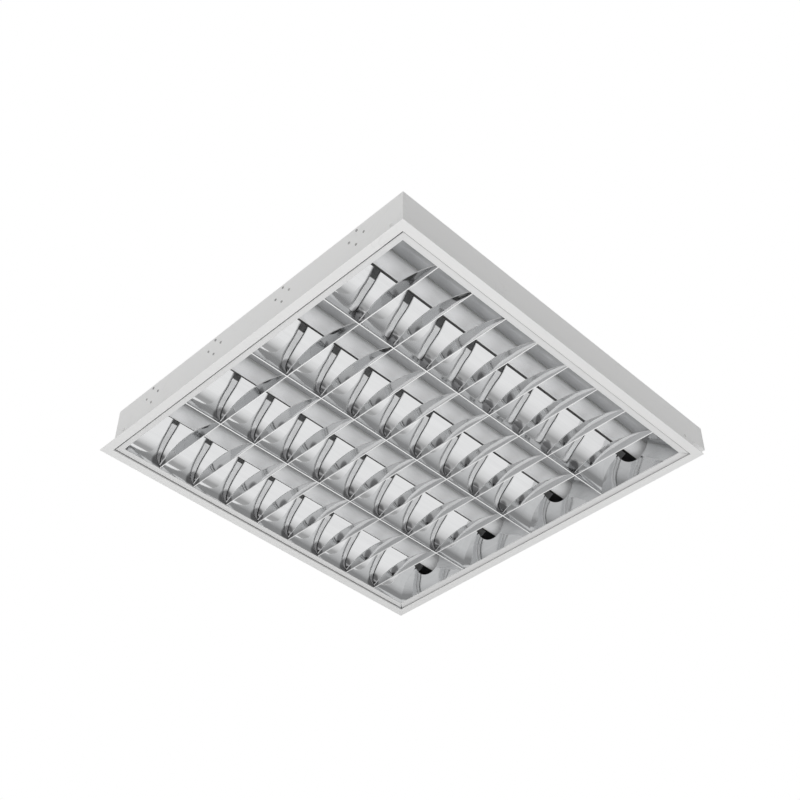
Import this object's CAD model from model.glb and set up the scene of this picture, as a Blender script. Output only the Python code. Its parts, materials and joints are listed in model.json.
"""Dressed model of a square ceiling light with four LED tubes behind a mirror louvre.

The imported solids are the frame. Smooth numpy surfaces stand in for the mirror sheets, blades, rails, tubes
and fixings, and every solid that stays gets a procedural finish. Lengths are metres in the frame of the
solids: X along the tubes, Y across the troughs, +Z up to the ceiling, origin on the housing's ceiling side.
"""

import json
import logging
import math
from dataclasses import dataclass, replace
from enum import Enum, IntEnum
from typing import Dict, List, Optional, Sequence, Tuple, Union

import bmesh
import bpy
import numpy as np
from mathutils import Matrix, Vector


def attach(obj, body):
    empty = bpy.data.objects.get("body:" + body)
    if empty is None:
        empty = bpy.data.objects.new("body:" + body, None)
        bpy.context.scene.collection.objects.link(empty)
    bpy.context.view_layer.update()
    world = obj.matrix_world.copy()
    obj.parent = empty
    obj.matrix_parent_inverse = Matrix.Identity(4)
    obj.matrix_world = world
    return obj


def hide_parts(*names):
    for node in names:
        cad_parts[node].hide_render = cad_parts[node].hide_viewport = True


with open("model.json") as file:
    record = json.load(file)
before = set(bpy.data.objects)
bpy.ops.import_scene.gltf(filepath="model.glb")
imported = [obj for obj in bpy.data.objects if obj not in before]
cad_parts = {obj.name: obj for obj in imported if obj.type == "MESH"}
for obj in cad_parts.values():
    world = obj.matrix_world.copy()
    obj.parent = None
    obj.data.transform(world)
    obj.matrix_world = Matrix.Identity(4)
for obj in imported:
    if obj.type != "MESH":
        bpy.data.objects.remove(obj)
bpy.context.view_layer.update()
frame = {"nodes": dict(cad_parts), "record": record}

logging.basicConfig(level=logging.INFO, format="%(message)s")
log = logging.getLogger("ceiling_light")

Triple = Tuple[float, float, float]
Colour = Triple
Points = np.ndarray
Faces = List[List[int]]
Shape = Tuple[Points, Faces]
Socket = bpy.types.NodeSocket

MM = 0.001
TROUGH_PITCH = 137.8 * MM
TROUGHS = tuple(TROUGH_PITCH * turns for turns in (-1.5, -0.5, 0.5, 1.5))
RIDGES = (-TROUGH_PITCH, 0.0, TROUGH_PITCH)
CELL_PITCH = 551.2 / 9 * MM
BLADE_ROWS = 8
TUBE_Z = -19.0 * MM
CATCH_Y = 267.5 * MM
SHARP_FOLD = math.radians(32.0)
MIRRORED = np.array([-1.0, 1.0])


class Body(Enum):
    """Moving groups of the part."""

    HOUSING = "housing"
    LOUVRE = "louvre"
    TUBE_1 = "tube_1"
    TUBE_2 = "tube_2"
    TUBE_3 = "tube_3"
    TUBE_4 = "tube_4"


class Slot(Enum):
    """Material slots of the record."""

    WHITE_STEEL = "white_steel"
    WHITE_RAIL = "white_rail"
    MIRROR = "mirror_aluminium"
    FROSTED = "frosted_tube"
    BOARD = "board_white"
    CAP = "tube_cap"
    PIN = "brass_pin"
    HOLDER = "holder_plastic"
    PLATED = "plated_steel"
    ZINC = "zinc_plate"
    TERMINAL = "terminal_plastic"
    RUBBER = "grommet_rubber"
    BROWN = "wire_brown"
    BLUE = "wire_blue"
    GREEN = "wire_green"


class Trim(Enum):
    """Finishes beside those of the slots."""

    TROUGH = "trough"
    BLADE = "blade"
    BACK = "back"
    RIVET = "rivet"
    LID = "lid"
    LIP = "lip"
    RIM = "rim"
    SEAM = "seam"
    WINDOW = "window"


class BladeFace(IntEnum):
    """Kinds of face on a blade, numbered as its finishes are."""

    BLADE = 0
    LID = 1
    SEAM = 2
    RIM = 3
    LIP = 4
    WINDOW = 5


class Side(Enum):
    """The two ends or two edges of the light, as a sign on its axis."""

    LOW = -1.0
    HIGH = 1.0


Key = Union[Slot, Trim]


# Meshes from arrays


def grid_quads(rows: int, columns: int, keep: Optional[np.ndarray] = None) -> np.ndarray:
    """Corner numbers of the quads of a rows by columns grid of points.

    Args:
        rows: points down the grid.
        columns: points across the grid.
        keep: True for each quad that stays, one less than the grid each way.

    Returns:
        One row of four corner numbers for each quad.
    """
    first = np.arange(rows - 1)[:, None] * columns + np.arange(columns - 1)[None, :]
    quads = np.stack([first, first + 1, first + columns + 1, first + columns], axis=-1)
    return quads[keep] if keep is not None else quads.reshape(-1, 4)


def ring_quads(rings: int, around: int) -> np.ndarray:
    """Corner numbers of the quads of a tube of rings, each ring closed on itself.

    Args:
        rings: rings along the tube.
        around: points round each ring.

    Returns:
        One row of four corner numbers for each quad.
    """
    here = np.arange(around)
    after = (here + 1) % around
    start = np.arange(rings - 1)[:, None] * around
    quads = np.stack([start + here, start + after, start + around + after, start + around + here], axis=-1)
    return quads.reshape(-1, 4)


def sheet_normals(points: Points) -> Points:
    """Unit normals of a grid surface: the cross product of its slopes down and across the grid.

    Args:
        points: grid of shape (rows, columns, 3).

    Returns:
        Unit normals of the same shape.
    """
    normals = np.cross(np.gradient(points, axis=1), np.gradient(points, axis=0))
    return normals / np.linalg.norm(normals, axis=-1, keepdims=True)


def thick_sheet(points: Points, gauge: float, keep: Optional[np.ndarray] = None) -> Shape:
    """Give a grid surface a thickness: a second skin one gauge behind it, and a rim along every open edge.

    The rim stands on each edge that only one quad uses, so holes cut by keep are walled too.

    Args:
        points: grid of shape (rows, columns, 3), the seen face.
        gauge: thickness, laid against the normal.
        keep: True for each quad that stays.

    Returns:
        Points of both skins, and the quads: the seen face first, then as many of its back, then the rim.
    """
    rows, columns = points.shape[:2]
    front = grid_quads(rows, columns, keep)
    count = rows * columns
    skin = points.reshape(-1, 3)
    back = skin - sheet_normals(points).reshape(-1, 3) * gauge
    edges = np.stack([front, np.roll(front, -1, axis=1)], axis=-1).reshape(-1, 2)
    code = edges[:, 0] * count + edges[:, 1]
    turned = edges[:, 1] * count + edges[:, 0]
    rim = edges[~np.isin(code, turned)]
    walls = np.stack([rim[:, 1], rim[:, 0], rim[:, 0] + count, rim[:, 1] + count], axis=-1)
    quads = np.concatenate([front, front[:, ::-1] + count, walls])
    used, renumbered = np.unique(quads, return_inverse=True)
    return np.concatenate([skin, back])[used], renumbered.reshape(quads.shape).tolist()


def rounded_loop(corners: Points, radius: float, steps: int) -> Points:
    """Round every corner of a closed outline: points on an arc tangent to both sides, at equal turns.

    Args:
        corners: outline of shape (n, 2), in order.
        radius: radius of the corners.
        steps: points on each corner's arc.

    Returns:
        Outline of shape (n * steps, 2).
    """
    back = np.roll(corners, 1, axis=0) - corners
    ahead = np.roll(corners, -1, axis=0) - corners
    back = back / np.linalg.norm(back, axis=1, keepdims=True)
    ahead = ahead / np.linalg.norm(ahead, axis=1, keepdims=True)
    half = np.arccos(np.clip((back * ahead).sum(axis=1), -1.0, 1.0)) / 2
    middle = back + ahead
    middle = middle / np.linalg.norm(middle, axis=1, keepdims=True)
    centre = corners + middle * (radius / np.sin(half))[:, None]
    first = back * (radius / np.tan(half))[:, None] + corners - centre
    last = ahead * (radius / np.tan(half))[:, None] + corners - centre
    share = np.linspace(0.0, 1.0, steps)[None, :, None]
    swing = (math.pi / 2 - half)[:, None, None] * 2
    arc = first[:, None] * np.sin((1 - share) * swing) + last[:, None] * np.sin(share * swing)
    return (centre[:, None] + arc / np.sin(swing)).reshape(-1, 2)


def turned_loops(profile: Points, around: int) -> Points:
    """Turn a profile about its axis: each (along, radius) pair becomes a ring of points.

    Args:
        profile: pairs of distance along the axis and radius, shape (n, 2).
        around: points round each ring.

    Returns:
        Points of shape (n, around, 3), as along, sideways, upright.
    """
    turn = np.linspace(0.0, 2 * math.pi, around, endpoint=False)
    along = np.repeat(profile[:, :1], around, axis=1)
    return np.stack([along, profile[:, 1:] * np.cos(turn), profile[:, 1:] * np.sin(turn)], axis=-1)


def capped_rings(loops: Points) -> Shape:
    """Faces between closed rings of points, with a flat cap on the first and the last ring.

    Args:
        loops: the rings in order, shape (rings, around, 3).

    Returns:
        Points of shape (n, 3), and the faces: all the quads, then the two caps.
    """
    rings, around = loops.shape[:2]
    faces = ring_quads(rings, around).tolist()
    faces.append(list(range(around))[::-1])
    faces.append(list(range((rings - 1) * around, rings * around)))
    return loops.reshape(-1, 3), faces


def moved(shape: Shape, spot: Sequence[float], stretch: Sequence[float] = (1.0, 1.0, 1.0)) -> Shape:
    """Copy of a shape, stretched or mirrored about the origin and then moved to a spot."""
    return shape[0] * np.array(stretch) + np.array(spot), shape[1]


def gather(shapes: Sequence[Shape]) -> Shape:
    """Put several shapes into one, moving each one's corner numbers past those before it.

    Args:
        shapes: the shapes in order.

    Returns:
        All the points and all the faces.
    """
    starts = np.cumsum([0] + [len(points) for points, _ in shapes]).tolist()
    faces = [[corner + start for corner in face]
             for start, (_, group) in zip(starts, shapes) for face in group]
    return np.concatenate([points for points, _ in shapes]), faces


def new_object(name: str, data: bpy.types.ID) -> bpy.types.Object:
    """New object in the scene, at the origin.

    Args:
        name: name of the object.
        data: its mesh, lamp or camera.

    Returns:
        The object.
    """
    made = bpy.data.objects.new(name, data)
    bpy.context.scene.collection.objects.link(made)
    return made


def add_piece(name: str, shape: Shape, finishes: Sequence[bpy.types.Material], body: Body,
              numbers: Optional[np.ndarray] = None) -> None:
    """Make one dressed piece in place of the solid of the same name, and tie it to its body and slot.

    Args:
        name: name of the piece and of the solid that it stands for.
        shape: points in metres in the part's frame, and the corner numbers of each face.
        finishes: materials of the piece.
        body: moving group that carries it.
        numbers: place of each face's finish in finishes, where there are several.
    """
    mesh = bpy.data.meshes.new(name)
    mesh.from_pydata(shape[0].tolist(), [], shape[1])
    shell = bmesh.new()
    shell.from_mesh(mesh)
    bmesh.ops.recalc_face_normals(shell, faces=shell.faces)
    shell.to_mesh(mesh)
    shell.free()
    mesh.shade_smooth()
    mesh.set_sharp_from_angle(angle=SHARP_FOLD)
    for finish in finishes:
        mesh.materials.append(finish)
    if numbers is not None:
        mesh.polygons.foreach_set("material_index", numbers.astype(np.int32))
    piece = new_object(name, mesh)
    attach(piece, body.value)
    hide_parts(name)
    log.info("piece %s: %d points, %d faces", name, len(mesh.vertices), len(mesh.polygons))


# Finishes


class Graph:
    """Short hand for laying nodes in a material, a world or a node group."""

    def __init__(self, tree: bpy.types.NodeTree) -> None:
        """Keep the tree that nodes go into."""
        self.tree = tree

    def node(self, kind: str, inputs: Optional[Dict[object, object]] = None,
             **settings: object) -> bpy.types.Node:
        """Add one node.

        Args:
            kind: type name of the node.
            inputs: values or sockets for its inputs, by name or number.
            settings: properties of the node itself.

        Returns:
            The new node.
        """
        made = self.tree.nodes.new(kind)
        for key, value in settings.items():
            setattr(made, key, value)
        self.feed(made, inputs or {})
        return made

    def feed(self, node: bpy.types.Node, inputs: Dict[object, object]) -> None:
        """Link other nodes' sockets into a node's inputs, or set the inputs' own values.

        Args:
            node: the node that is fed.
            inputs: values or sockets for its inputs, by name or number.
        """
        for key, value in inputs.items():
            if isinstance(value, Socket):
                self.tree.links.new(value, node.inputs[key])
            else:
                node.inputs[key].default_value = value

    def math(self, operation: str, first: object, second: object = 0.0) -> Socket:
        """Result of a math node on two values or sockets."""
        return self.node("ShaderNodeMath", {0: first, 1: second}, operation=operation).outputs[0]

    def product(self, first: Socket, *others: object) -> Socket:
        """Multiply values or sockets together.

        Args:
            first: the first socket.
            others: the values or sockets that it is multiplied by.

        Returns:
            The product.
        """
        for other in others:
            first = self.math("MULTIPLY", first, other)
        return first

    def span(self, value: object, low: float, high: float, to_low: float = 0.0,
             to_high: float = 1.0) -> Socket:
        """Result of mapping one range of values to another, held at its ends."""
        ends = {"From Min": low, "From Max": high, "To Min": to_low, "To Max": to_high}
        return self.node("ShaderNodeMapRange", {"Value": value, **ends}).outputs["Result"]

    def blend(self, share: object, first: object, second: object) -> Socket:
        """Colour between two colours, by a share that changes over the surface."""
        ends = [tone if isinstance(tone, Socket) else (*tone, 1.0) for tone in (first, second)]
        return self.node("ShaderNodeMix", {0: share, 6: ends[0], 7: ends[1]}, data_type="RGBA").outputs[2]

    def parts(self, vector: Socket) -> List[Socket]:
        """X, Y and Z of a vector."""
        return list(self.node("ShaderNodeSeparateXYZ", {"Vector": vector}).outputs)

    def noise(self, vector: Socket, scale: object, detail: float = 2.0, **more: float) -> Socket:
        """Soft noise over the surface, about one half on the whole."""
        inputs = {"Vector": vector, "Scale": scale, "Detail": detail, **more}
        return self.node("ShaderNodeTexNoise", inputs).outputs["Fac"]

    def bump(self, height: Socket, strength: float, distance: float, **more: Socket) -> Socket:
        """Normal of a surface that is raised by a height."""
        inputs = {"Height": height, "Strength": strength, "Distance": distance, **more}
        return self.node("ShaderNodeBump", inputs).outputs["Normal"]

    def place(self, stretch: Triple = (1.0, 1.0, 1.0)) -> Socket:
        """Object coordinates in metres, stretched along the three axes."""
        spot = self.node("ShaderNodeTexCoord").outputs["Object"]
        return self.node("ShaderNodeMapping", {"Vector": spot, "Scale": stretch}).outputs["Vector"]

    def use(self, group: bpy.types.NodeTree, vector: Socket, **numbers: float) -> bpy.types.Node:
        """Place a shared group.

        Args:
            group: the shared group.
            vector: coordinates that it reads.
            numbers: its number inputs, with spaces written as underscores.

        Returns:
            The group node.
        """
        inputs = {key.replace("_", " "): value for key, value in numbers.items()}
        return self.node("ShaderNodeGroup", {"Vector": vector, **inputs}, node_tree=group)


def open_material(name: str) -> Tuple[bpy.types.Material, Graph, bpy.types.Node]:
    """New material with its shader, still without links.

    Args:
        name: name of the finish.

    Returns:
        The material, its graph and its shader node.
    """
    material = bpy.data.materials.new(name)
    material.use_nodes = True
    return material, Graph(material.node_tree), material.node_tree.nodes["Principled BSDF"]


class Effects:
    """Node groups that several finishes share, each built once."""

    joint_shift: float = 6.0 * MM
    joint_half: float = 256.0 * MM

    def __init__(self) -> None:
        """Build every shared group."""
        self.coat = self.coat_texture()
        self.grain = self.rolled_grain()
        self.dust = self.settled_dust()
        self.marks = self.handling_marks()
        self.joint = self.joint_shade()

    @staticmethod
    def start(name: str, numbers: Dict[str, float],
              outputs: Sequence[str]) -> Tuple[Graph, Dict[str, Socket], bpy.types.Node]:
        """Open a node group with a vector input, number inputs and number outputs.

        Args:
            name: name of the group.
            numbers: number inputs with their usual values.
            outputs: names of the number outputs.

        Returns:
            The group's graph, its inputs by name, and its output node.
        """
        group = bpy.data.node_groups.new(name, "ShaderNodeTree")
        group.interface.new_socket("Vector", in_out="INPUT", socket_type="NodeSocketVector")
        for key, value in numbers.items():
            made = group.interface.new_socket(key, in_out="INPUT", socket_type="NodeSocketFloat")
            made.default_value = value
        for key in outputs:
            group.interface.new_socket(key, in_out="OUTPUT", socket_type="NodeSocketFloat")
        graph = Graph(group)
        inside = graph.node("NodeGroupInput")
        given = {key: inside.outputs[key] for key in ("Vector", *numbers)}
        return graph, given, graph.node("NodeGroupOutput")

    def coat_texture(self) -> bpy.types.NodeTree:
        """Stoved paint: a fine orange peel for the bump, and a broad drift of tone and gloss.

        Returns:
            The group.
        """
        graph, given, out = self.start("coat_texture", {"Peel Scale": 700.0, "Drift Scale": 7.0},
                                       ("Height", "Tone", "Gloss"))
        peel = graph.noise(given["Vector"], given["Peel Scale"], Roughness=0.45)
        drift = graph.noise(given["Vector"], given["Drift Scale"], detail=3.0)
        graph.feed(out, {"Height": peel, "Tone": drift, "Gloss": graph.product(peel, drift)})
        return graph.tree

    def rolled_grain(self) -> bpy.types.NodeTree:
        """Rolled metal: streaks along the rolling direction, given by a vector that is already stretched.

        Returns:
            The group.
        """
        graph, given, out = self.start("rolled_grain", {"Streak Scale": 60.0, "Cloud Scale": 0.35},
                                       ("Height", "Streak", "Cloud"))
        streak = graph.noise(given["Vector"], given["Streak Scale"], detail=4.0, Roughness=0.6)
        cloud = graph.noise(given["Vector"], given["Cloud Scale"])
        graph.feed(out, {"Height": streak, "Streak": graph.span(streak, 0.3, 0.7),
                         "Cloud": graph.span(cloud, 0.35, 0.65)})
        return graph.tree

    def settled_dust(self) -> bpy.types.NodeTree:
        """Dust: a speckled mask that is full on faces that look up and nought on faces that look down.

        Returns:
            The group.
        """
        graph, given, out = self.start("settled_dust", {"Speckle Scale": 90.0, "Amount": 0.3}, ("Mask",))
        facing = graph.node("ShaderNodeNewGeometry").outputs["Normal"]
        upward = graph.span(graph.parts(facing)[2], 0.35, 0.95)
        speckle = graph.noise(given["Vector"], given["Speckle Scale"], detail=5.0)
        patch = graph.span(speckle, 0.4, 0.75)
        graph.feed(out, {"Mask": graph.product(upward, patch, given["Amount"])})
        return graph.tree

    def handling_marks(self) -> bpy.types.NodeTree:
        """Handling: thin scattered scuffs, from the bands where a stretched noise crosses its middle.

        Returns:
            The group.
        """
        graph, given, out = self.start("handling_marks", {"Mark Scale": 22.0, "Amount": 0.25}, ("Mask",))
        veins = graph.noise(given["Vector"], given["Mark Scale"], Distortion=0.8)
        near = graph.math("ABSOLUTE", graph.math("SUBTRACT", veins, 0.5))
        line = graph.span(near, 0.0, 0.02, 1.0, 0.0)
        patch = graph.span(graph.noise(given["Vector"], 9.0), 0.52, 0.7)
        graph.feed(out, {"Mask": graph.product(line, patch, given["Amount"])})
        return graph.tree

    def joint_shade(self) -> bpy.types.NodeTree:
        """Joint: an oval dull patch at each blade's end, from the remainder of X over the blades' spacing.

        Returns:
            The group.
        """
        numbers = {"Pitch": CELL_PITCH, "Reach": 12.0 * MM, "Middle": -61.0 * MM, "Rise": 13.0 * MM}
        graph, given, out = self.start("joint_shade", numbers, ("Mask",))
        x, _, z = graph.parts(given["Vector"])
        turns = graph.math("DIVIDE", graph.math("ADD", x, self.joint_shift), given["Pitch"])
        near = graph.math("SUBTRACT", graph.math("FRACT", turns), 0.5)
        along = graph.math("DIVIDE", graph.product(near, given["Pitch"]), given["Reach"])
        up = graph.math("DIVIDE", graph.math("SUBTRACT", z, given["Middle"]), given["Rise"])
        reach = graph.math("ADD", graph.product(along, along), graph.product(up, up))
        inner = graph.math("LESS_THAN", graph.math("ABSOLUTE", x), self.joint_half)
        graph.feed(out, {"Mask": graph.product(inner, graph.span(reach, 0.55, 1.0, 1.0, 0.0))})
        return graph.tree


def grey(level: float) -> Colour:
    """Neutral colour of one level."""
    return (level, level, level)


@dataclass(frozen=True)
class Finish:
    """What every finish has: a name, the two tones that it drifts between, and a roughness."""

    name: str
    tone: Colour
    shade: Colour
    roughness: float = 0.4

    def material(self, effects: Effects) -> bpy.types.Material:
        """New material with this finish's nodes.

        Args:
            effects: the shared groups.

        Returns:
            The material.
        """
        material, graph, shader = open_material(self.name)
        self.lay(graph, shader, effects)
        return material

    def lay(self, graph: Graph, shader: bpy.types.Node, effects: Effects) -> None:
        """Lay the nodes that feed the shader; each kind of finish has its own.

        Args:
            graph: graph of the material.
            shader: its shader node.
            effects: the shared groups.
        """
        raise NotImplementedError


@dataclass(frozen=True)
class PaintedSteel(Finish):
    """Stoved paint on folded sheet, with orange peel, scuffs and a little dust on what looks up.

    Where an inner tone is given, the inside of the tray has it, and the lampholder pocket is darker still.
    """

    roughness: float = 0.38
    inner_tone: Optional[Colour] = None
    pocket_tone: Colour = grey(0.08)
    scuff_tone: Colour = (0.52, 0.52, 0.51)
    dust_tone: Colour = (0.50, 0.48, 0.45)
    inner_half: float = 286.9 * MM
    inner_top: float = -0.6 * MM
    inner_foot: float = -70.2 * MM
    dark_start: float = 272.0 * MM
    dark_full: float = 279.0 * MM
    pocket_start: float = 288.0 * MM
    pocket_end: float = 327.2 * MM
    pocket_floor: float = -39.4 * MM
    strip_half: float = 15.0 * MM
    strip_foot: float = -12.0 * MM

    def lay(self, graph: Graph, shader: bpy.types.Node, effects: Effects) -> None:
        """Drift of tone, then the inside, scuffs and dust over it.

        Args:
            graph: graph of the material.
            shader: its shader node.
            effects: the shared groups.
        """
        place = graph.place()
        coat = graph.use(effects.coat, place).outputs
        dust = graph.use(effects.dust, place, Amount=0.12).outputs["Mask"]
        marks = graph.use(effects.marks, place, Amount=0.16).outputs["Mask"]
        colour = graph.blend(coat["Tone"], self.shade, self.tone)
        if self.inner_tone is not None:
            x, y, z = graph.parts(place)
            deep = graph.span(x, self.dark_start, self.dark_full)
            inner = graph.blend(deep, self.inner_tone, self.pocket_tone)
            colour = graph.blend(self.inside(graph, x, y, z), colour, inner)
        colour = graph.blend(marks, colour, self.scuff_tone)
        colour = graph.blend(dust, colour, self.dust_tone)
        gloss = graph.span(coat["Gloss"], 0.1, 0.5, self.roughness - 0.05, self.roughness + 0.07)
        graph.feed(shader, {
            "Base Color": colour,
            "Roughness": graph.math("ADD", gloss, graph.product(dust, 0.4)),
            "Normal": graph.bump(coat["Height"], strength=0.12, distance=0.06 * MM),
        })

    def inside(self, graph: Graph, x: Socket, y: Socket, z: Socket) -> Socket:
        """Mask of the faces inside the tray and its pocket, without the strip of plate over each tube.

        Args:
            graph: graph of the material.
            x: place along the tubes.
            y: place across the troughs.
            z: height.

        Returns:
            One inside, nought elsewhere.
        """
        pocket = graph.math("GREATER_THAN", x, self.pocket_start)
        foot = graph.span(pocket, 0.0, 1.0, self.inner_foot, self.pocket_floor)
        turns = graph.math("FRACT", graph.math("DIVIDE", y, TROUGH_PITCH))
        off = graph.math("ABSOLUTE", graph.math("SUBTRACT", turns, 0.5))
        beside = graph.math("GREATER_THAN", off, self.strip_half / TROUGH_PITCH)
        return graph.product(
            graph.math("LESS_THAN", graph.math("ABSOLUTE", y), self.inner_half),
            graph.math("GREATER_THAN", x, -self.inner_half),
            graph.math("LESS_THAN", x, self.pocket_end),
            graph.math("LESS_THAN", z, self.inner_top),
            graph.math("GREATER_THAN", z, foot),
            graph.math("MAXIMUM", beside, graph.math("LESS_THAN", z, self.strip_foot)),
        )


@dataclass(frozen=True)
class MirrorSheet(Finish):
    """Bright rolled aluminium: a clear mirror with faint rolling streaks, a slow wave and pale folds.

    Where their tones are given, it is duller at the blade joints and on trough sides that look along +Y.
    """

    roughness: float = 0.055
    roll: Triple = (0.12, 3.0, 3.0)
    fold_tone: Colour = grey(0.97)
    fold_z: float = -68.75 * MM
    fold_edge: float = 0.15 * MM
    joint_tone: Optional[Colour] = None
    side_tone: Optional[Colour] = None
    side_start: Tuple[float, float] = (0.03, 0.12)
    side_end: Tuple[float, float] = (0.48, 0.5)
    dust_tone: Colour = (0.45, 0.44, 0.42)
    wave: float = 0.7 * MM
    wave_scale: float = 18.0

    def lay(self, graph: Graph, shader: bpy.types.Node, effects: Effects) -> None:
        """Streaks of tone and roughness, then joints, dull sides, folds and dust, and a slow wave as bump.

        Args:
            graph: graph of the material.
            shader: its shader node.
            effects: the shared groups.
        """
        place = graph.place()
        _, y, z = graph.parts(place)
        grain = graph.use(effects.grain, graph.place(self.roll)).outputs
        dust = graph.use(effects.dust, place, Amount=0.25).outputs["Mask"]
        colour = graph.blend(grain["Streak"], self.shade, self.tone)
        if self.joint_tone is not None:
            joint = graph.use(effects.joint, place).outputs["Mask"]
            colour = graph.blend(joint, colour, self.joint_tone)
        if self.side_tone is not None:
            turn = graph.math("FRACT", graph.math("DIVIDE", y, TROUGH_PITCH))
            foot = graph.span(turn, *self.side_start)
            head = graph.span(turn, *self.side_end, 1.0, 0.0)
            colour = graph.blend(graph.product(foot, head), colour, self.side_tone)
        fold = graph.span(z, self.fold_z, self.fold_z + self.fold_edge, 1.0, 0.0)
        colour = graph.blend(fold, colour, self.fold_tone)
        colour = graph.blend(dust, colour, self.dust_tone)
        gloss = graph.span(grain["Streak"], 0.0, 1.0, self.roughness + 0.025, self.roughness - 0.015)
        slow = graph.bump(graph.noise(place, self.wave_scale, detail=1.0), strength=1.0, distance=self.wave)
        graph.feed(shader, {
            "Base Color": colour,
            "Metallic": 1.0,
            "Roughness": graph.math("ADD", gloss, graph.product(dust, 0.3)),
            "Normal": graph.bump(grain["Height"], strength=0.05, distance=0.02 * MM, Normal=slow),
        })


@dataclass(frozen=True)
class PlatedMetal(Finish):
    """Zinc plate, plated screws or brass: a dull metal with clouds and short scratches."""

    roughness: float = 0.32
    streak_scale: float = 240.0
    scratch_tone: Colour = (0.75, 0.75, 0.74)

    def lay(self, graph: Graph, shader: bpy.types.Node, effects: Effects) -> None:
        """Clouds of tone, rougher where they are dull, with bright scratches over them.

        Args:
            graph: graph of the material.
            shader: its shader node.
            effects: the shared groups.
        """
        grain = graph.use(effects.grain, graph.place((1.0, 1.4, 0.7)), Streak_Scale=self.streak_scale,
                          Cloud_Scale=60.0).outputs
        marks = graph.use(effects.marks, graph.place(), Mark_Scale=160.0, Amount=0.5).outputs["Mask"]
        colour = graph.blend(grain["Cloud"], self.shade, self.tone)
        graph.feed(shader, {
            "Base Color": graph.blend(marks, colour, self.scratch_tone),
            "Metallic": 1.0,
            "Roughness": graph.span(grain["Cloud"], 0.0, 1.0, self.roughness + 0.12, self.roughness - 0.06),
            "Normal": graph.bump(grain["Height"], strength=0.15, distance=0.03 * MM),
        })


@dataclass(frozen=True)
class MouldedPlastic(Finish):
    """Moulded plastic or rubber: a satin skin with a fine spark texture and a slight drift of colour."""

    roughness: float = 0.42
    spark_scale: float = 1500.0
    depth: float = 0.04 * MM
    softness: float = 0.0
    soft_reach: Triple = (4.0 * MM, 4.0 * MM, 4.0 * MM)
    glow: float = 0.0
    dust_tone: Colour = (0.46, 0.44, 0.41)

    def lay(self, graph: Graph, shader: bpy.types.Node, effects: Effects) -> None:
        """Drift of tone with dust; softness carries light inside, and glow takes it round to the shaded side.

        Args:
            graph: graph of the material.
            shader: its shader node.
            effects: the shared groups.
        """
        place = graph.place()
        coat = graph.use(effects.coat, place, Peel_Scale=self.spark_scale, Drift_Scale=45.0).outputs
        dust = graph.use(effects.dust, place, Speckle_Scale=260.0, Amount=0.18).outputs["Mask"]
        colour = graph.blend(coat["Tone"], self.shade, self.tone)
        colour = graph.blend(dust, colour, self.dust_tone)
        graph.feed(shader, {
            "Base Color": colour,
            "Roughness": graph.span(coat["Gloss"], 0.1, 0.5, self.roughness - 0.06, self.roughness + 0.08),
            "Subsurface Weight": self.softness,
            "Subsurface Radius": self.soft_reach,
            "Normal": graph.bump(coat["Height"], strength=0.2, distance=self.depth),
        })
        if self.glow > 0.0:
            graph.feed(shader, {"Emission Color": colour, "Emission Strength": self.glow})


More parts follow.
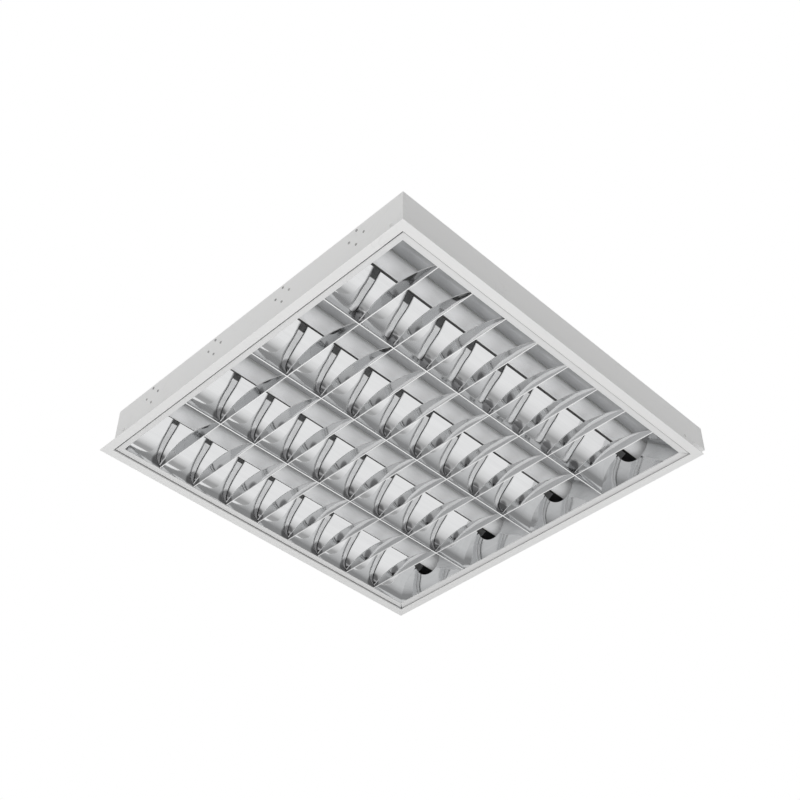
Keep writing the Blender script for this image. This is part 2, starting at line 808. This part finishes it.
class Finishes:
    """Every finish of the light, made once and handed out by slot or trim."""

    def __init__(self) -> None:
        """Make the shared groups and then the finishes."""
        mirror = MirrorSheet("bright_mirror", (0.785, 0.79, 0.795), (0.74, 0.745, 0.75),
                             joint_tone=(0.27, 0.27, 0.275))
        kinds: Dict[Key, Finish] = {
            Slot.WHITE_STEEL: PaintedSteel("white_paint", (0.86, 0.86, 0.855), (0.82, 0.82, 0.815),
                                           inner_tone=(0.45, 0.45, 0.448)),
            Slot.WHITE_RAIL: PaintedSteel("white_rail_paint", (0.79, 0.79, 0.788), (0.755, 0.755, 0.753),
                                          0.33),
            Slot.MIRROR: mirror,
            Slot.FROSTED: MouldedPlastic("frosted_diffuser", (0.62, 0.625, 0.63), (0.59, 0.595, 0.60), 0.30,
                                         900.0, 0.03 * MM, softness=0.15, glow=0.24),
            Slot.BOARD: MouldedPlastic("board_mask", (0.83, 0.84, 0.82), (0.76, 0.78, 0.75), 0.35),
            Slot.CAP: MouldedPlastic("cap_plastic", grey(0.72), grey(0.66), 0.40),
            Slot.PIN: PlatedMetal("pin_brass", (0.78, 0.62, 0.36), (0.62, 0.47, 0.25), 0.26),
            Slot.HOLDER: MouldedPlastic("holder_plastic", (0.78, 0.78, 0.76), (0.72, 0.72, 0.70), 0.36),
            Slot.PLATED: PlatedMetal("plated_fixings", (0.46, 0.46, 0.45), grey(0.34), 0.34),
            Slot.ZINC: PlatedMetal("zinc_plate", (0.66, 0.67, 0.68), (0.52, 0.53, 0.55), 0.36, 130.0),
            Slot.TERMINAL: MouldedPlastic("terminal_nylon", (0.70, 0.69, 0.65), (0.62, 0.61, 0.57), 0.45,
                                          softness=0.1),
            Slot.RUBBER: MouldedPlastic("grommet_rubber", (0.045, 0.045, 0.047), (0.028, 0.028, 0.03), 0.6,
                                        1100.0),
            Slot.BROWN: MouldedPlastic("sleeve_brown", (0.19, 0.085, 0.04), (0.15, 0.065, 0.03), 0.4),
            Slot.BLUE: MouldedPlastic("sleeve_blue", (0.05, 0.14, 0.42), (0.035, 0.10, 0.33), 0.4),
            Slot.GREEN: MouldedPlastic("sleeve_green", (0.12, 0.36, 0.10), (0.08, 0.28, 0.07), 0.4),
            Trim.TROUGH: replace(mirror, name="bright_trough", side_tone=(0.50, 0.505, 0.51)),
            Trim.BLADE: MirrorSheet("bright_blade", (0.69, 0.695, 0.70), (0.64, 0.645, 0.65),
                                    roll=(3.0, 0.12, 3.0)),
            Trim.BACK: PaintedSteel("sheet_back", (0.50, 0.505, 0.51), (0.45, 0.455, 0.46), 0.45),
            Trim.RIVET: PlatedMetal("bright_rivet", (0.62, 0.62, 0.61), (0.52, 0.52, 0.51), 0.40),
            Trim.LID: MouldedPlastic("lid_white", grey(0.94), grey(0.90), 0.30, glow=0.45),
            Trim.LIP: MouldedPlastic("lip_white", grey(0.92), grey(0.88), 0.30, glow=0.37),
            Trim.RIM: PaintedSteel("rim_white", grey(0.94), grey(0.90), 0.3),
            Trim.SEAM: PaintedSteel("seam_shade", grey(0.10), grey(0.07), 0.6),
            Trim.WINDOW: PaintedSteel("window_shade", grey(0.20), grey(0.16), 0.5),
        }
        effects = Effects()
        self.materials = {key: kind.material(effects) for key, kind in kinds.items()}

    def pick(self, *keys: Key) -> List[bpy.types.Material]:
        """Materials of the named slots and trims, in order."""
        return [self.materials[key] for key in keys]

    def dress_solids(self) -> None:
        """Give every carried-over solid the finish of its slot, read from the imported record."""
        for entry in frame["record"]["subparts"]:
            slots = frame["nodes"][entry["node"]].data.materials
            slots.clear()
            slots.append(self.materials[Slot(entry["material_slot"])])


# Louvre


@dataclass
class Trough:
    """Cross section of a mirror trough: each side rises from its ridge as an arc and ends as a slope."""

    half_pitch: float = TROUGH_PITCH / 2
    slot_half: float = 19.0 * MM
    foot_z: float = -69.2 * MM
    top_z: float = -19.8 * MM
    radius: float = 63.0 * MM
    centre_y: float = 8.03 * MM
    centre_z: float = -85.44 * MM
    break_half: float = 38.0 * MM
    arc_points: int = 56
    slope_points: int = 9

    def half_width(self, z: Points) -> Points:
        """Half the width at a height on the arc: the arc's centre plus the circle's half chord there."""
        return self.centre_y + np.sqrt(self.radius ** 2 - (z - self.centre_z) ** 2)

    def round_side(self, y: Points) -> Points:
        """Height of the circle at a distance from the trough's middle line."""
        return self.centre_z + np.sqrt(np.maximum(self.radius ** 2 - (y - self.centre_y) ** 2, 0.0))

    def roof(self, y: Points) -> Points:
        """Height of the mirror over a place across the trough: the slope near the tube, else the circle.

        Args:
            y: distances from the trough's middle line.

        Returns:
            The heights there.
        """
        out = np.maximum(np.abs(y), self.slot_half)
        share = (self.break_half - out) / (self.break_half - self.slot_half)
        low = self.round_side(np.array(self.break_half))
        return np.where(out < self.break_half, low + share * (self.top_z - low), self.round_side(out))

    def side(self) -> Points:
        """Points up one side from foot to slot: equal turns round the arc, then the straight slope.

        Returns:
            Pairs of distance from the ridge line and height.
        """
        low = math.atan2(self.foot_z - self.centre_z, self.half_pitch - self.centre_y)
        high = math.acos((self.break_half - self.centre_y) / self.radius)
        turn = np.linspace(low, high, self.arc_points)
        arc = np.stack([self.centre_y + self.radius * np.cos(turn),
                        self.centre_z + self.radius * np.sin(turn)], axis=-1)
        flat = np.linspace(self.break_half, self.slot_half, self.slope_points)[1:]
        line = np.concatenate([arc, np.stack([flat, self.roof(flat)], axis=-1)])
        return np.stack([self.half_pitch - line[:, 0], line[:, 1]], axis=-1)


@dataclass
class Louvre:
    """Mirror louvre in its white frame: ridges, outer sides, blades, end plates, rails and ball catches."""

    finishes: Finishes
    trough: Trough
    opening_half: float = 275.6 * MM
    frame_half: float = 284.9 * MM
    mirror_half: float = 277.1 * MM
    gauge: float = 0.4 * MM
    fold_half: float = 0.85 * MM
    fold_clear: float = 0.5 * MM
    fold_bend: Tuple[float, float] = (0.10 * MM, 0.12 * MM)
    fold_flat: float = 0.32 * MM
    slot_low: float = -66.6 * MM
    slot_high: float = -59.8 * MM
    slot_reach: float = 3.0 * MM
    slot_lip: float = 2.0 * MM
    blade_foot: float = -69.0 * MM
    blade_height: float = 15.5 * MM
    blade_half_top: float = 6.45 * MM
    blade_half_foot: float = 0.75 * MM
    blade_fold: float = 0.35 * MM
    blade_bend: float = 0.3 * MM
    blade_end: float = 3.5 * MM
    blade_arch: float = 2.2
    blade_room: float = 0.35 * MM
    blade_stops: int = 33
    face_points: int = 13
    face_crowd: float = 1.2
    roll_out: float = 0.80 * MM
    roll_top: float = 0.45 * MM
    lid_inset: float = 1.5 * MM
    lid_least: float = 0.2 * MM
    lid_drop: float = 0.5 * MM
    lip_faces: int = 5
    seam_depth: float = 2.4 * MM
    seam_share: float = 0.4
    seam_flare: float = 0.1 * MM
    seam_narrow: float = 0.9
    seam_reach: float = 0.86
    window_reach: float = 0.29
    plate_lean: float = 8.0 * MM
    plate_top: float = -26.2 * MM
    plate_room: float = 0.6 * MM
    plate_gap: float = 0.1 * MM
    plate_least: float = 0.3 * MM
    plate_columns: int = 161
    plate_rows: int = 12
    plate_crowd: float = 0.8
    notch_radius: float = 27.0 * MM
    band_z: float = -70.0 * MM
    rail_sheet: float = 0.8 * MM
    rail_height: float = 10.0 * MM
    rail_round: float = 0.28 * MM
    mitre_gap: float = 0.04 * MM
    far_reach: float = 3.3 * MM
    near_gap: float = 1.0 * MM
    catch_z: float = -64.5 * MM

    def build(self) -> None:
        """Make every piece of the louvre in order."""
        for index, y in enumerate(RIDGES, start=1):
            self.ridge("ridge_reflector_" + str(index), y)
        self.outer("right_reflector", Side.LOW)
        self.outer("left_reflector", Side.HIGH)
        for index, x in enumerate(self.blade_places(), start=1):
            self.blade_row("blade_row_" + str(index), x)
        self.end_plate("near_end_reflector", Side.LOW)
        self.end_plate("far_end_reflector", Side.HIGH)
        self.rails()
        self.catches()

    @staticmethod
    def blade_places() -> Points:
        """X of the blade rows."""
        return CELL_PITCH * (np.arange(BLADE_ROWS) - (BLADE_ROWS - 1) / 2)

    def slotted(self, line: Points, stops: Points) -> np.ndarray:
        """Mask of the quads that stay, without those of the tab slots.

        Args:
            line: the sheet's profile as pairs of place across and height.
            stops: places along the sheet.

        Returns:
            True for each quad that stays, profile down and stops across.
        """
        height = (line[1:, 1] + line[:-1, 1]) / 2
        low = (height > self.slot_low) & (height < self.slot_high)
        middle = (stops[1:] + stops[:-1]) / 2
        at_blade = (np.abs(middle[:, None] - self.blade_places()[None, :]) < self.slot_reach).any(axis=1)
        return ~(low[:, None] & at_blade[None, :])

    def mirror_strip(self, name: str, line: Points) -> None:
        """Carry a profile along X, with its tab slots left out, and give it the sheet's gauge.

        The stops along X are the sheet's ends and both sides of every tab slot.

        Args:
            name: name of the piece.
            line: profile as pairs of place across and height, from high Y to low so that it faces down.
        """
        cuts = (self.blade_places()[:, None] + MIRRORED * self.slot_reach).reshape(-1)
        stops = np.concatenate([[-self.mirror_half], cuts, [self.mirror_half]])
        grid = np.stack(np.broadcast_arrays(stops[None, :], line[:, :1], line[:, 1:]), axis=-1)
        keep = self.slotted(line, stops)
        points, faces = thick_sheet(grid, self.gauge, keep)
        seen = int(keep.sum())
        order = np.arange(len(faces))
        back = (order >= seen) & (order < 2 * seen)
        finishes = self.finishes.pick(Trim.TROUGH, Trim.BACK)
        add_piece(name, (points, faces), finishes, Body.LOUVRE, back)

    def edge_reach(self, line: Points) -> Points:
        """Profile of a side that looks along +Y: one point more, with the slope carried on to the tube."""
        step = line[-1:] - line[-2:-1]
        return np.concatenate([line, line[-1:] + step / step[0, 0] * self.slot_lip])

    def ridge(self, name: str, y: float) -> None:
        """Ridge between two troughs: one sheet from slot to slot, folded over a narrow flat at its foot.

        Args:
            name: name of the piece.
            y: its middle line.
        """
        foot = self.trough.foot_z
        side = self.trough.side()
        side = side[side[:, 1] > foot + self.fold_clear]
        side = np.stack([np.maximum(side[:, 0], self.fold_half), side[:, 1]], axis=-1)
        fold = np.array([[self.fold_half - self.fold_flat, foot],
                         [self.fold_half - self.fold_bend[0], foot + self.fold_bend[1]]])
        half = np.concatenate([fold, side])
        line = np.concatenate([self.edge_reach(half)[::-1], half * MIRRORED])
        self.mirror_strip(name, line + np.array([y, 0.0]))

    def outer(self, name: str, side: Side) -> None:
        """Outermost trough side: the same arc, with its foot on the side rail.

        Args:
            name: name of the piece.
            side: edge of the louvre that it stands on.
        """
        line = self.trough.side()
        if side is Side.LOW:
            line = self.edge_reach(line)[::-1]
        across = (self.opening_half - line[:, 0]) * side.value
        self.mirror_strip(name, np.stack([across, line[:, 1]], axis=-1))

    def blade_section(self, share: Points) -> Points:
        """Outlines of a folded blade, one for each place across its trough.

        The top is arched: its height falls from the middle as a power of the share. The half thickness grows
        evenly with the height, and both rims are rolled. A sunk lid with a seam at each side shuts the top.

        Args:
            share: places across the trough, -1 at one end and 1 at the other.

        Returns:
            Outlines as pairs of place along X and height: down one face, up the other and back over the lid.
        """
        full = self.blade_height - self.blade_fold
        rise = self.blade_end + (full - self.blade_end) * (1.0 - np.abs(share[:, None]) ** self.blade_arch)
        up = rise * np.linspace(0.0, 1.0, self.face_points) ** self.face_crowd
        half = self.blade_half_foot + (self.blade_half_top - self.blade_half_foot) * up / full
        top = self.blade_foot + self.blade_fold + rise
        wide = half[:, -1:]
        still = np.zeros_like(wide)
        lid = np.maximum(wide - self.lid_inset, self.lid_least)
        floor = top - np.minimum(self.seam_depth, rise * self.seam_share)
        across = np.concatenate([still + self.blade_half_foot - self.blade_bend, half, wide + self.roll_out,
                                 wide + self.roll_top, wide - self.gauge, lid + self.seam_flare,
                                 lid * self.seam_narrow, lid], axis=1)
        height = np.concatenate([still + self.blade_foot, self.blade_foot + self.blade_fold + up,
                                 top - self.roll_out, top, top, floor, floor, top - self.lid_drop], axis=1)
        side = np.stack([across, height], axis=-1)
        rim = self.face_points + 2
        down = side[:, rim::-1] * MIRRORED
        back = side[:, :rim:-1] * MIRRORED
        return np.concatenate([down, side, back], axis=1)

    def blade_faces(self, share: Points, around: int) -> np.ndarray:
        """Finish numbers of a blade's faces: rims, far lip, seams, lid, and the window in the lid's middle.

        Args:
            share: places across the trough.
            around: points round an outline.

        Returns:
            One number for each quad, stop by stop, and two for the end caps.
        """
        edge = 2 * (self.face_points + 3) - 1
        ring = np.full(around, BladeFace.BLADE, dtype=np.int32)
        ring[edge:-1] = BladeFace.SEAM
        ring[edge + 4] = BladeFace.LID
        ring[[0, 1, edge, -1]] = BladeFace.RIM
        ring[edge - self.lip_faces:edge] = BladeFace.LIP
        out = np.abs(share[1:] + share[:-1])[:, None] / 2
        rings = np.where((out > self.seam_reach) & (ring == BladeFace.SEAM), BladeFace.BLADE, ring)
        rings = np.where((out < self.window_reach) & (ring == BladeFace.LID), BladeFace.WINDOW, rings)
        return np.concatenate([rings.reshape(-1), [BladeFace.BLADE] * 2])

    def blade_row(self, name: str, x: float) -> None:
        """One row of four cross blades: each outline at its place, as far across as the mirrors leave room.

        Args:
            name: name of the piece.
            x: place of the row.
        """
        share = np.sin(np.linspace(-math.pi / 2, math.pi / 2, self.blade_stops))
        section = self.blade_section(share)
        height = section[..., 1]
        across = share[:, None] * (self.trough.half_width(height) - self.blade_room)
        blade = capped_rings(np.stack([x + section[..., 0], across, height], axis=-1))
        row = gather([moved(blade, (0.0, middle, 0.0)) for middle in TROUGHS])
        numbers = np.tile(self.blade_faces(share, section.shape[1]), len(TROUGHS))
        finishes = self.finishes.pick(*(Trim[face.name] for face in BladeFace))
        add_piece(name, row, finishes, Body.LOUVRE, numbers)

    def end_plate(self, name: str, side: Side) -> None:
        """Leaning mirror plate at the trough ends: from the foot up to the mirror, the flat top or the notch.

        Args:
            name: name of the piece.
            side: end of the louvre.
        """
        foot = self.trough.foot_z
        share = np.linspace(-1.0, 1.0, self.plate_columns)
        y = (self.trough.half_pitch - self.plate_room) * np.sign(share) * np.abs(share) ** self.plate_crowd
        notch = TUBE_Z - np.sqrt(np.maximum(self.notch_radius ** 2 - y ** 2, 0.0))
        notch = np.where(np.abs(y) < self.notch_radius, notch, self.plate_top)
        top = np.minimum(np.minimum(self.trough.roof(y) - self.plate_gap, notch), self.plate_top)
        top = np.maximum(top, foot + self.plate_least)
        height = foot + np.linspace(0.0, 1.0, self.plate_rows)[:, None] * (top - foot)[None, :]
        lean = self.plate_lean * (height - foot) / (self.plate_top - foot)
        along = (self.opening_half - lean) * side.value
        grid = np.stack(np.broadcast_arrays(along, y, height), axis=-1)
        plate = thick_sheet(grid[:, ::-1] if side is Side.HIGH else grid, self.gauge)
        row = gather([moved(plate, (0.0, middle, 0.0)) for middle in TROUGHS])
        add_piece(name, row, self.finishes.pick(Trim.BLADE), Body.LOUVRE)

    def rails(self) -> None:
        """White frame of four mitred L rails: each point of the outline ends as far in as it lies."""
        band_top = self.band_z + self.rail_sheet
        rail_top = self.band_z + self.rail_height
        upstand = self.frame_half - self.rail_sheet
        corners = np.array([[self.opening_half, self.band_z], [self.frame_half, self.band_z],
                            [self.frame_half, rail_top], [upstand, rail_top], [upstand, band_top],
                            [self.opening_half, band_top]])
        out, height = rounded_loop(corners, self.rail_round, steps=4).T
        width = self.frame_half - self.opening_half
        near = -(self.opening_half + (out - self.opening_half) * (1.0 - self.near_gap / width))
        gaps = np.array([[self.mitre_gap], [-self.mitre_gap]])
        ends = np.stack([-out, out]) + gaps
        lengths = np.stack([near, out]) + gaps
        far = out + self.far_reach * (out > upstand)
        layouts = {
            "left_rail": (lengths, out, height),
            "right_rail": (lengths[::-1], -out, height),
            "near_rail": (near, ends, height),
            "far_rail": (far, ends[::-1], height),
        }
        for name, layout in layouts.items():
            stations = np.stack(np.broadcast_arrays(*layout), axis=-1)
            finishes = self.finishes.pick(Slot.WHITE_RAIL)
            add_piece(name, capped_rings(stations[::-1]), finishes, Body.LOUVRE)

    def catches(self) -> None:
        """Ball catches in the near rail: a turned barrel with a rolled lip, and the ball's cap at its end."""
        barrel = np.array([[-0.7, 0.15], [-0.68, 0.55], [-0.55, 1.05], [-0.3, 1.38], [0.0, 1.5], [0.02, 2.8],
                           [0.25, 3.0], [0.5, 3.0], [0.7, 2.85], [0.9, 3.0], [7.7, 3.0], [8.0, 2.7],
                           [8.0, 2.2]]) * MM
        catch = capped_rings(turned_loops(barrel, around=28))
        pair = gather([moved(catch, (-self.frame_half, y, self.catch_z)) for y in (-CATCH_Y, CATCH_Y)])
        add_piece("ball_catches", pair, self.finishes.pick(Slot.PLATED), Body.LOUVRE)


# Tubes and housing


@dataclass
class LampTube:
    """One LED tube: a frosted shell between two moulded end caps, turning with its rotors."""

    finishes: Finishes
    number: int
    y: float
    near_x: float = -274.5 * MM
    length: float = 589.8 * MM
    radius: float = 13.0 * MM
    skin: float = 0.02 * MM
    wall: float = 1.0 * MM
    lip: float = 0.25 * MM
    cap: float = 12.0 * MM
    stops: int = 25

    def build(self) -> None:
        """Make the shell and the caps."""
        self.add("diffuser", self.shell(), Slot.FROSTED)
        self.add("end_caps", self.caps(), Slot.CAP)

    def add(self, part: str, shape: Shape, slot: Slot) -> None:
        """Add one piece of the tube, moved to the tube's axis.

        Args:
            part: last words of the piece's name.
            shape: the piece about the X axis.
            slot: its material slot.
        """
        tube = "tube_" + str(self.number)
        shape = moved(shape, (0.0, self.y, TUBE_Z))
        add_piece(tube + "_" + part, shape, self.finishes.pick(slot), Body(tube))

    def shell(self, around: int = 72) -> Shape:
        """Frosted shell: a closed outline with softened lips, turned about the tube's axis.

        Args:
            around: points round the shell.

        Returns:
            Points and faces about the X axis.
        """
        start = self.near_x + self.cap
        end = self.near_x + self.length - self.cap
        outer = self.radius - self.skin
        inner = self.radius - self.wall
        stops = np.linspace(start + self.lip, end - self.lip, self.stops)
        outside = np.stack([stops, np.full_like(stops, outer)], axis=-1)
        inside = np.stack([stops[::-1], np.full_like(stops, inner)], axis=-1)
        profile = np.concatenate([[[start, outer - self.lip]], outside, [[end, outer - self.lip]],
                                  [[end, inner + self.lip]], inside, [[start, inner + self.lip]]])
        points = turned_loops(profile, around).reshape(-1, 3)
        return points, (ring_quads(len(profile) + 1, around) % len(points)).tolist()

    def caps(self) -> Shape:
        """End caps: a turned cup with a rounded rim, a shallow dish in its face and a groove at the shell.

        Returns:
            Points and faces of both caps about the X axis.
        """
        cup = np.array([[0.7, 0.2], [0.7, 9.2], [0.45, 9.6], [0.0, 9.9], [0.0, 12.0], [0.12, 12.5],
                        [0.5, 12.88], [1.0, 13.0], [3.2, 13.0], [3.35, 12.86], [3.65, 12.86], [3.8, 13.0],
                        [9.9, 13.0], [10.1, 12.8], [10.6, 12.8], [10.8, 13.0], [11.8, 13.0], [12.0, 12.8],
                        [12.0, 0.2]]) * MM
        cap = capped_rings(turned_loops(cup, around=64))
        far = moved(cap, (self.near_x + self.length, 0.0, 0.0), (-1.0, 1.0, 1.0))
        return gather([moved(cap, (self.near_x, 0.0, 0.0)), far])


@dataclass
class Fixings:
    """Screws of the lampholders and rivets of the hinge and catch plates, on the outside of the walls."""

    finishes: Finishes
    spread: float = 13.0 * MM
    near_wall: float = -287.5 * MM
    far_wall: float = 328.3 * MM
    side_wall: float = 287.5 * MM
    head_radius: float = 2.0 * MM
    head_height: float = 0.9 * MM
    head_fall: float = 0.97
    shank_radius: float = 1.4 * MM
    screw_length: float = 6.0 * MM
    screw_point: float = 0.6 * MM
    point_share: float = 0.6
    screw_turn: float = math.radians(20.0)
    recess_turn: float = 0.349
    recess_half: float = 0.19
    recess_edge: float = 0.05
    recess_reach: float = 0.68
    recess_end: float = 0.08
    recess_depth: float = 0.72
    rivet_head: float = 2.6 * MM
    rivet_height: float = 0.8 * MM
    rivet_fall: float = 0.98
    rivet_power: float = 2.6
    rivet_radius: float = 1.6 * MM
    rivet_depth: Tuple[float, float] = (2.0 * MM, 2.4 * MM)
    tail_share: float = 0.8
    dimple_reach: float = 0.42
    dimple_edge: float = 0.08
    dimple_depth: float = 0.5
    catch_rivet_z: float = -45.5 * MM
    hinge_rivet_x: float = 280.0 * MM
    hinge_rivet_z: float = -42.5 * MM

    def build(self) -> None:
        """Make the screws and the rivets."""
        self.screws()
        self.rivets()

    def screw(self, around: int = 40) -> Shape:
        """Pan head with a cross recess: height falls as a quartic of the radius, less a cross-shaped pit.

        Args:
            around: points round the head.

        Returns:
            Points as outwards, sideways, upright from the wall, and the faces.
        """
        turn = np.linspace(0.0, 2 * math.pi, around, endpoint=False)[None, :] + self.screw_turn
        share = np.concatenate([[0.03], np.linspace(0.09, 0.72, 11), np.linspace(0.78, 1.0, 6)])[:, None]
        dome = self.head_height * np.sqrt(np.maximum(1.0 - self.head_fall * share ** 4, 0.0))
        cross = turn - self.recess_turn
        across = np.minimum(np.abs(share * np.cos(cross)), np.abs(share * np.sin(cross)))
        arm = np.clip((self.recess_half - across) / self.recess_edge, 0.0, 1.0)
        arm = arm * np.clip((self.recess_reach - share) / self.recess_end, 0.0, 1.0)
        out = dome - arm * self.head_height * self.recess_depth
        shank = np.array([[0.0, self.head_radius], [0.0, self.shank_radius],
                          [self.screw_point - self.screw_length, self.shank_radius],
                          [-self.screw_length, self.shank_radius * self.point_share]])
        out = np.concatenate([out, np.repeat(shank[:, :1], around, axis=1)])
        radius = np.concatenate([share * self.head_radius, shank[:, 1:]])
        return capped_rings(np.stack([out, radius * np.cos(turn), radius * np.sin(turn)], axis=-1))

    def rivet(self) -> Shape:
        """Blind rivet: a low dome with a round dimple where its stem broke off.

        Returns:
            Points as outwards, sideways, upright from the wall, and the faces.
        """
        share = np.concatenate([[0.04], np.linspace(0.15, 0.5, 7), np.linspace(0.55, 1.0, 9)])
        dome = np.sqrt(np.maximum(1.0 - self.rivet_fall * share ** self.rivet_power, 0.0))
        dimple = np.clip((self.dimple_reach - share) / self.dimple_edge, 0.0, 1.0) * self.dimple_depth
        head = np.stack([self.rivet_height * (dome - dimple), share * self.rivet_head], axis=-1)
        tail = np.array([[0.0, self.rivet_head], [0.0, self.rivet_radius],
                         [-self.rivet_depth[0], self.rivet_radius],
                         [-self.rivet_depth[1], self.rivet_radius * self.tail_share]])
        return capped_rings(turned_loops(np.concatenate([head, tail]), around=32))

    def screws(self) -> None:
        """Four screws in a diamond round each tube's axis, on both end walls."""
        screw = self.screw()
        diamond = ((0.0, 1.0), (0.0, -1.0), (1.0, 0.0), (-1.0, 0.0))
        row = gather([moved(screw, (wall, y + step_y * self.spread, TUBE_Z + step_z * self.spread),
                            (side.value, 1.0, 1.0))
                      for wall, side in ((self.near_wall, Side.LOW), (self.far_wall, Side.HIGH))
                      for y in TROUGHS for step_y, step_z in diamond])
        add_piece("holder_screws", row, self.finishes.pick(Slot.PLATED), Body.HOUSING)

    def rivets(self) -> None:
        """One rivet over each catch on the near wall and over each hinge pin on the side walls."""
        points, faces = self.rivet()
        sideways = (points[:, [1, 0, 2]], faces)
        row = [moved((points, faces), (self.near_wall, y, self.catch_rivet_z), (-1.0, 1.0, 1.0))
               for y in (-CATCH_Y, CATCH_Y)]
        row += [moved(sideways, (self.hinge_rivet_x, self.side_wall * side.value, self.hinge_rivet_z),
                      (1.0, side.value, 1.0)) for side in Side]
        add_piece("rivets", gather(row), self.finishes.pick(Trim.RIVET), Body.HOUSING)


# Studio


@dataclass
class Studio:
    """Plain pale floor, soft light from all round and a camera at the photograph's angle."""

    floor_z: float = -1.9
    floor_half: float = 9.0
    floor_points: int = 13
    lens: float = 57.56
    sensor: float = 36.0
    eye: Triple = (-0.97864, -0.98232, -1.21642)
    ahead: Triple = (0.5244, 0.5287, 0.6674)
    up: Triple = (-0.4766, -0.4674, 0.7447)
    middle: Triple = (0.0, 0.0, -0.05)
    sky_level: float = 0.47
    floor_white: float = 0.95
    bright_reach: float = 2.6
    dim_reach: float = 5.2
    dim_level: float = 0.42

    def build(self) -> None:
        """Set the view, the camera, the floor, the world and the lamps."""
        bpy.context.scene.view_settings.view_transform = "Standard"
        self.camera()
        self.floor()
        self.world()
        self.lamp("soft_below", (-0.2, -0.2, -1.8), size=3.0, power=27.0)
        self.lamp("soft_near", (-2.4, -0.2, -0.5), size=1.8, power=9.0)
        self.lamp("soft_above", (0.0, 0.0, 1.6), size=0.5, power=6.0)

    def camera(self) -> None:
        """Camera whose three axes were solved from the rim and tubes in the photograph."""
        data = bpy.data.cameras.new("camera")
        data.lens = self.lens
        data.sensor_width = self.sensor
        camera = new_object("camera", data)
        ahead = Vector(self.ahead).normalized()
        right = ahead.cross(Vector(self.up)).normalized()
        turn = Matrix((right, right.cross(ahead), -ahead)).transposed().to_4x4()
        camera.matrix_world = Matrix.Translation(Vector(self.eye)) @ turn
        bpy.context.scene.camera = camera

    def floor(self) -> None:
        """Pale floor, a flat grid: white to the camera, and dimmer in mirrors the farther it lies."""
        line = np.linspace(-self.floor_half, self.floor_half, self.floor_points)
        x, y = np.meshgrid(line, line)
        points = np.stack([x, y, np.full_like(x, self.floor_z)], axis=-1).reshape(-1, 3)
        mesh = bpy.data.meshes.new("floor")
        mesh.from_pydata(points.tolist(), [], grid_quads(self.floor_points, self.floor_points).tolist())
        mesh.materials.append(self.floor_material())
        new_object("floor", mesh)

    def floor_material(self) -> bpy.types.Material:
        """Matt pale floor that carries the shadow, mixed with plain white where it is seen.

        Returns:
            The floor's material.
        """
        material, graph, shader = open_material("pale_floor")
        drift = graph.noise(graph.place(), scale=0.8)
        graph.feed(shader, {"Base Color": graph.blend(drift, grey(0.86), grey(0.90)), "Roughness": 0.8})
        spread = graph.node("ShaderNodeVectorMath", {0: graph.place()}, operation="LENGTH").outputs["Value"]
        direct = graph.node("ShaderNodeLightPath").outputs["Is Camera Ray"]
        far = graph.product(graph.span(spread, self.bright_reach, self.dim_reach),
                            graph.math("SUBTRACT", 1.0, direct))
        light = graph.blend(far, grey(1.0), grey(self.dim_level))
        glow = graph.node("ShaderNodeEmission", {"Color": light, "Strength": 1.0}).outputs["Emission"]
        share = graph.product(self.seen(graph), self.floor_white)
        both = graph.node("ShaderNodeMixShader", {"Fac": share, 1: shader.outputs["BSDF"], 2: glow})
        graph.feed(graph.tree.nodes["Material Output"], {"Surface": both.outputs["Shader"]})
        return material

    @staticmethod
    def seen(graph: Graph) -> Socket:
        """Mask of the rays from the camera, off metal and through glass.

        Args:
            graph: graph of the floor or the world.

        Returns:
            One for those rays, nought for the rays that carry light.
        """
        ray = graph.node("ShaderNodeLightPath").outputs
        clear = graph.math("MAXIMUM", ray["Is Glossy Ray"], ray["Is Transmission Ray"])
        return graph.math("MAXIMUM", ray["Is Camera Ray"], clear)

    def world(self) -> None:
        """White to the camera, to mirrors and through glass; a plain soft level of light to all else."""
        world = bpy.data.worlds.new("studio")
        bpy.context.scene.world = world
        world.use_nodes = True
        world.node_tree.nodes.clear()
        graph = Graph(world.node_tree)
        level = graph.span(self.seen(graph), 0.0, 1.0, self.sky_level, 1.0)
        sky = graph.node("ShaderNodeBackground", {"Color": (1.0, 1.0, 1.0, 1.0), "Strength": level})
        graph.node("ShaderNodeOutputWorld", {"Surface": sky.outputs["Background"]})

    def lamp(self, name: str, spot: Triple, size: float, power: float) -> None:
        """Square soft lamp that faces the middle of the light.

        Args:
            name: name of the lamp.
            spot: where it hangs.
            size: length of its side.
            power: its power in watts.
        """
        data = bpy.data.lights.new(name, "AREA")
        data.shape = "SQUARE"
        data.size = size
        data.energy = power
        lamp = new_object(name, data)
        way = (Vector(self.middle) - Vector(spot)).normalized()
        turn = way.to_track_quat("-Z", "Y").to_matrix().to_4x4()
        lamp.matrix_world = Matrix.Translation(Vector(spot)) @ turn
        lamp.visible_camera = False
        lamp.visible_glossy = False


def write_sizes() -> None:
    """Write the solids' box and the dressed model's box for comparing them."""
    log.info("sizes written")


def main() -> None:
    """Build the classes in order: finishes, louvre, tubes, fixings, studio."""
    finishes = Finishes()
    finishes.dress_solids()
    Louvre(finishes, Trough()).build()
    for number, y in enumerate(TROUGHS, start=1):
        LampTube(finishes, number, y).build()
    Fixings(finishes).build()
    Studio().build()
    write_sizes()


if __name__ == "__main__":
    main()
